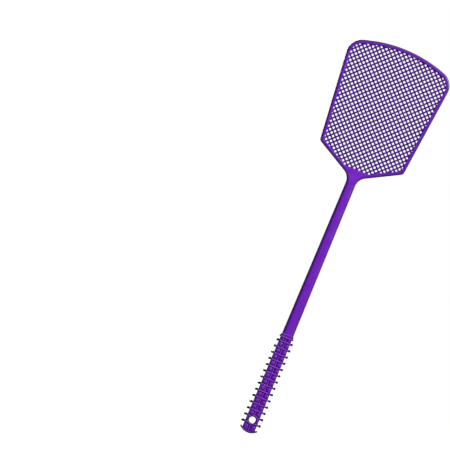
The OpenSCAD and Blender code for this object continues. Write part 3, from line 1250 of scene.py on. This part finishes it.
    def _rib(self, box: Extent) -> Surface:
        """Carries a beaded profile round the grip, from the rib's outer edge in to the body.

        At distance a in from the edge the half thickness is that of a round bead while a is less
        than the bead's radius r, and then falls to the web's as exp(-((a - r) / r)^2). The bead is
        larger at the sides than on the faces, with the square of the normal's X.

        Args:
            box: The rib's box.

        Returns:
            The rib, or its two stubs where the eye interrupts it.
        """
        stub = abs(box.middle) < self.eye_radius + 2.0 * self.rib_side_bead
        start = self.stub_start if stub else None
        outer, normal = self._rib_outline(box.half_width, box.half_depth, self.rib_corner, start)
        root_half = float(self.half_at(box.middle)) - self.rib_root
        root_depth = self.core.half_depth - self.rib_root / 2.0
        inner, _ = self._rib_outline(root_half, root_depth, self.rib_root, start)
        length = np.linalg.norm(inner - outer, axis=1)[:, None]
        bead = self.rib_front_bead + (self.rib_side_bead - self.rib_front_bead) * normal[:, :1] ** 2
        rounding = bead * (1.0 - np.cos(quarter(6)))
        beyond = bead + (length - bead) * np.array(self.rib_web_shares)
        inwards = np.hstack([rounding, beyond])
        round_part = rounded_edge(inwards / bead, bead, self.rib_land, 1.0)
        fall = np.exp(-((np.maximum(inwards - bead, 0.0) / bead) ** 2))
        half = np.where(inwards < bead, round_part, self.rib_web + (bead - self.rib_web) * fall)
        plan = outer[:, None] + (inner - outer)[:, None] * (inwards / length)[..., None]
        upper = np.concatenate([plan, (box.middle + half)[..., None]], axis=-1)
        lower = np.concatenate([plan, (box.middle - half)[..., None]], axis=-1)
        rings = np.concatenate([upper, lower[:, ::-1]], axis=1)
        # Painted shade on the rib's ends, which stand out past the body and face sideways.
        beyond_body = np.abs(plan[..., 0]) - float(self.half_at(box.middle)) + self.tip_shade_start
        painted_shade = smooth_step(beyond_body / self.tip_shade_reach)
        painted_shade = np.hstack([painted_shade, painted_shade[:, ::-1]])
        surface = Surface()
        surface.add_rings(rings, painted_shade, joined=not stub)
        if stub:
            surface.add_rings(rings * [-1.0, 1.0, 1.0], painted_shade)
        return surface


# ---------------------------------------------------------------------------------------------
# Hanging end
# ---------------------------------------------------------------------------------------------

@dataclass
class HangingEnd(SubAssembly):
    """The raised ring round the hang hole, and the curved foot that closes the grip."""

    foot_thickness: float
    foot_lip: float = 0.2
    mouth_radius: float = 1.1
    shoulder_radius: float = 0.5
    foot_power: float = 5.0
    tip_power: float = 18.0
    tip_land: float = 0.3
    tip_tuck: float = 0.08
    # Painted shade on the foot's two tips and its underside: where each starts.
    tip_shade_start: float = 0.66
    underside_start: float = -0.9
    underside_end: float = -0.3

    def build(self) -> None:
        """Builds the ring and the foot."""
        self.add("eye_ring", self._ring(), EYE_FINISH, "hang_eye")
        self.add("curved_foot", self._foot(), EYE_FINISH, "end_flange")

    def _ring(self) -> Surface:
        """Turns the ring's profile about the hole's axis, along Y.

        The profile is a plain bore whose mouth opens as a quarter circle, a flat crown, and a
        quarter circle down to the outside.

        Returns:
            The ring's surface.
        """
        box = Extent.of("hang_eye")
        hole_radius = bore_radius("hang_hole")
        mouth, shoulder = quarter(8), quarter(5)
        radius = np.concatenate([
            hole_radius + self.mouth_radius * (1.0 - np.cos(mouth)),
            box.half_width - self.shoulder_radius * (1.0 - np.sin(shoulder)),
        ])
        height = np.concatenate([
            box.half_depth - self.mouth_radius * (1.0 - np.sin(mouth)),
            box.half_depth - self.shoulder_radius * (1.0 - np.cos(shoulder)),
        ])
        radius = np.concatenate([radius, radius[::-1]])
        height = np.concatenate([-height, height[::-1]])
        angle = np.linspace(0.0, 2.0 * math.pi, 96, endpoint=False)[:, None]
        rings = np.stack([
            radius * np.cos(angle), np.broadcast_to(height, (len(angle), len(height))),
            radius * np.sin(angle),
        ], axis=-1)
        # Painted shade inside the hole and over its rounded mouth.
        painted_shade = (radius < hole_radius + self.mouth_radius + 1e-6).astype(float)
        surface = Surface()
        surface.add_rings(rings, np.broadcast_to(painted_shade, rings.shape[:2]), joined=True)
        return surface

    def _foot(self) -> Surface:
        """Carries a rounded slab along an arc about the hang hole, and rounds off its two tips.

        Round the section, with angle a, the depth is D cos(a)^(2/p) and the thickness t sin(a)^(2/p),
        signs kept. Along the arc, with s from -1 to 1, t shrinks as (1 - |s|^q)^(1/2) to a thin land.

        Returns:
            The foot's surface.
        """
        box = Extent.of("end_flange")
        half_thick = (self.foot_thickness + self.foot_lip) / 2.0
        middle = -box.bottom - half_thick
        reach = math.asin((box.half_width - half_thick) / middle) + half_thick / middle
        share = np.sin(np.linspace(-math.pi / 2.0, math.pi / 2.0, 49))[:, None]
        thick = self.tip_land + (half_thick - self.tip_land) * np.sqrt(
            1.0 - np.abs(share) ** self.tip_power)
        around = np.linspace(0.0, 2.0 * math.pi, 40, endpoint=False)[None, :]
        power = 2.0 / self.foot_power
        depth = np.sign(np.cos(around)) * np.abs(np.cos(around)) ** power
        out = np.sign(np.sin(around)) * np.abs(np.sin(around)) ** power
        radius = middle + thick * out
        turn = share * reach - math.pi / 2.0
        tuck = 1.0 - self.tip_tuck * np.abs(share) ** self.tip_power
        rings = np.stack([
            radius * np.cos(turn), box.half_depth * tuck * depth, radius * np.sin(turn),
        ], axis=-1)
        # Painted shade on the foot's underside and its two tips.
        tips = smooth_step((np.abs(share) - self.tip_shade_start) / (1.0 - self.tip_shade_start))
        underside = smooth_step((out - self.underside_start) / (self.underside_end - self.underside_start))
        painted_shade = np.broadcast_to(np.maximum(underside, tips), rings.shape[:2])
        surface = Surface()
        surface.add_rings(rings, painted_shade)
        return surface


# ---------------------------------------------------------------------------------------------
# Studio
# ---------------------------------------------------------------------------------------------

@dataclass(frozen=True)
class SoftLight:
    """One soft box: where it stands, how large it is, and how bright."""

    name: str
    place: tuple[float, float, float]
    size: float
    power: float


@dataclass
class Studio:
    """A plain pale floor and surround, soft lights, and the camera."""

    tilt: float = math.radians(22.6)
    target: tuple[float, float, float] = (-0.1077, 0.0, 0.1822)
    view_width: float = 0.4843
    camera_distance: float = 2.6
    sensor: float = 36.0
    floor_radius: float = 1.6
    floor_gap: float = 0.0004
    floor_colour: str = "#707070"
    floor_glow: float = 0.9
    surround: float = 0.14
    lights: tuple[SoftLight, ...] = (
        SoftLight("key_soft_box", (1.15, -1.15, 1.30), 0.5, 54.0),
        SoftLight("fill_soft_box", (0.2, -1.4, 1.9), 0.9, 11.0),
        SoftLight("back_soft_box", (-0.5, 1.9, 0.9), 0.8, 44.0),
    )

    def build(self) -> None:
        """Builds the floor, the surround, the lights and the camera."""
        self._floor()
        self._surround()
        for light in self.lights:
            self._light(light)
        self._camera()
        bpy.context.scene.view_settings.view_transform = "Standard"

    def _floor(self) -> None:
        """Lays a pale disc just under the object, which looks white and throws back the lights only."""
        angle = np.linspace(0.0, 2.0 * math.pi, 96, endpoint=False)
        height = float(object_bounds()[0][2]) - self.floor_gap
        ring = np.stack([
            self.floor_radius * np.cos(angle), self.floor_radius * np.sin(angle),
            np.full_like(angle, height),
        ], axis=-1)
        mesh = bpy.data.meshes.new("studio_floor")
        mesh.from_pydata(ring, [], [list(range(len(ring)))])
        material = bpy.data.materials.new("pale_floor")
        material.use_nodes = True
        tree = material.node_tree
        tree.nodes.clear()
        seen = add_node(tree, "ShaderNodeLightPath").outputs["Is Camera Ray"]
        glow = add_node(tree, "ShaderNodeMath", {"operation": "MULTIPLY"}, {1: self.floor_glow}, {0: seen})
        shader = add_node(tree, "ShaderNodeBsdfPrincipled", None, {
            "Base Color": linear_colour(self.floor_colour), "Roughness": 1.0, "Specular IOR Level": 0.0,
            "Emission Color": linear_colour(WHITE),
        }, {"Emission Strength": glow.outputs["Value"]})
        add_node(tree, "ShaderNodeOutputMaterial", None, None, {"Surface": shader.outputs["BSDF"]})
        mesh.materials.append(material)
        floor = bpy.data.objects.new("studio_floor", mesh)
        bpy.context.scene.collection.objects.link(floor)
        floor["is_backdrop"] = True

    def _surround(self) -> None:
        """Shows white behind the object, and lights it with a softer grey from all round."""
        world = bpy.data.worlds.new("studio_surround")
        bpy.context.scene.world = world
        world.use_nodes = True
        tree = world.node_tree
        tree.nodes.clear()
        seen = add_node(tree, "ShaderNodeBackground", None, {"Color": linear_colour(WHITE)})
        lit = add_node(tree, "ShaderNodeBackground", None,
                       {"Color": linear_colour(WHITE), "Strength": self.surround})
        path = add_node(tree, "ShaderNodeLightPath")
        mix = add_node(tree, "ShaderNodeMixShader", None, None, {
            0: path.outputs["Is Camera Ray"], 1: lit.outputs["Background"], 2: seen.outputs["Background"],
        })
        add_node(tree, "ShaderNodeOutputWorld", None, None, {"Surface": mix.outputs["Shader"]})

    def _light(self, soft: SoftLight) -> None:
        """Stands one square soft box, turned towards the middle of the object.

        Args:
            soft: Its place, size and brightness.
        """
        data = bpy.data.lights.new(soft.name, "AREA")
        data.shape = "SQUARE"
        data.size = soft.size
        data.energy = soft.power
        light = bpy.data.objects.new(soft.name, data)
        middle = Vector((0.0, 0.0, self.target[2]))
        aim = middle - Vector(soft.place)
        turn = aim.to_track_quat("-Z", "Y").to_matrix().to_4x4()
        light.matrix_world = Matrix.Translation(soft.place) @ turn
        bpy.context.scene.collection.objects.link(light)

    def _camera(self) -> None:
        """Faces a long lens square to the front, turned so that the swatter leans to the right."""
        data = bpy.data.cameras.new("camera")
        data.sensor_width = self.sensor
        data.lens = self.sensor * self.camera_distance / self.view_width
        data.clip_end = 20.0
        camera = bpy.data.objects.new("camera", data)
        cos, sin = math.cos(self.tilt), math.sin(self.tilt)
        turn = Matrix(((cos, -sin, 0.0), (0.0, 0.0, -1.0), (sin, cos, 0.0)))
        place = Vector(self.target) + Vector((0.0, -self.camera_distance, 0.0))
        camera.matrix_world = Matrix.Translation(place) @ turn.to_4x4()
        bpy.context.scene.collection.objects.link(camera)
        bpy.context.scene.camera = camera


def main() -> None:
    """Builds the swatter from its head down to its hanging end, and then the studio."""
    logging.basicConfig(level=logging.INFO, format="%(name)s: %(message)s")
    outline = HeadOutline(crown_z=Extent.of("head_rim").top)
    edges = RoundedEdges()
    materials: dict[str, bpy.types.Material] = {}
    parts = (
        Head(outline, edges, materials=materials),
        Handle(outline, edges, Extent.of("head_rim").half_depth, materials=materials),
        Grip(FOOT_THICKNESS, materials=materials),
        HangingEnd(FOOT_THICKNESS, materials=materials),
    )
    for part in parts:
        part.build()
    Studio().build()


if __name__ == "__main__":
    main()
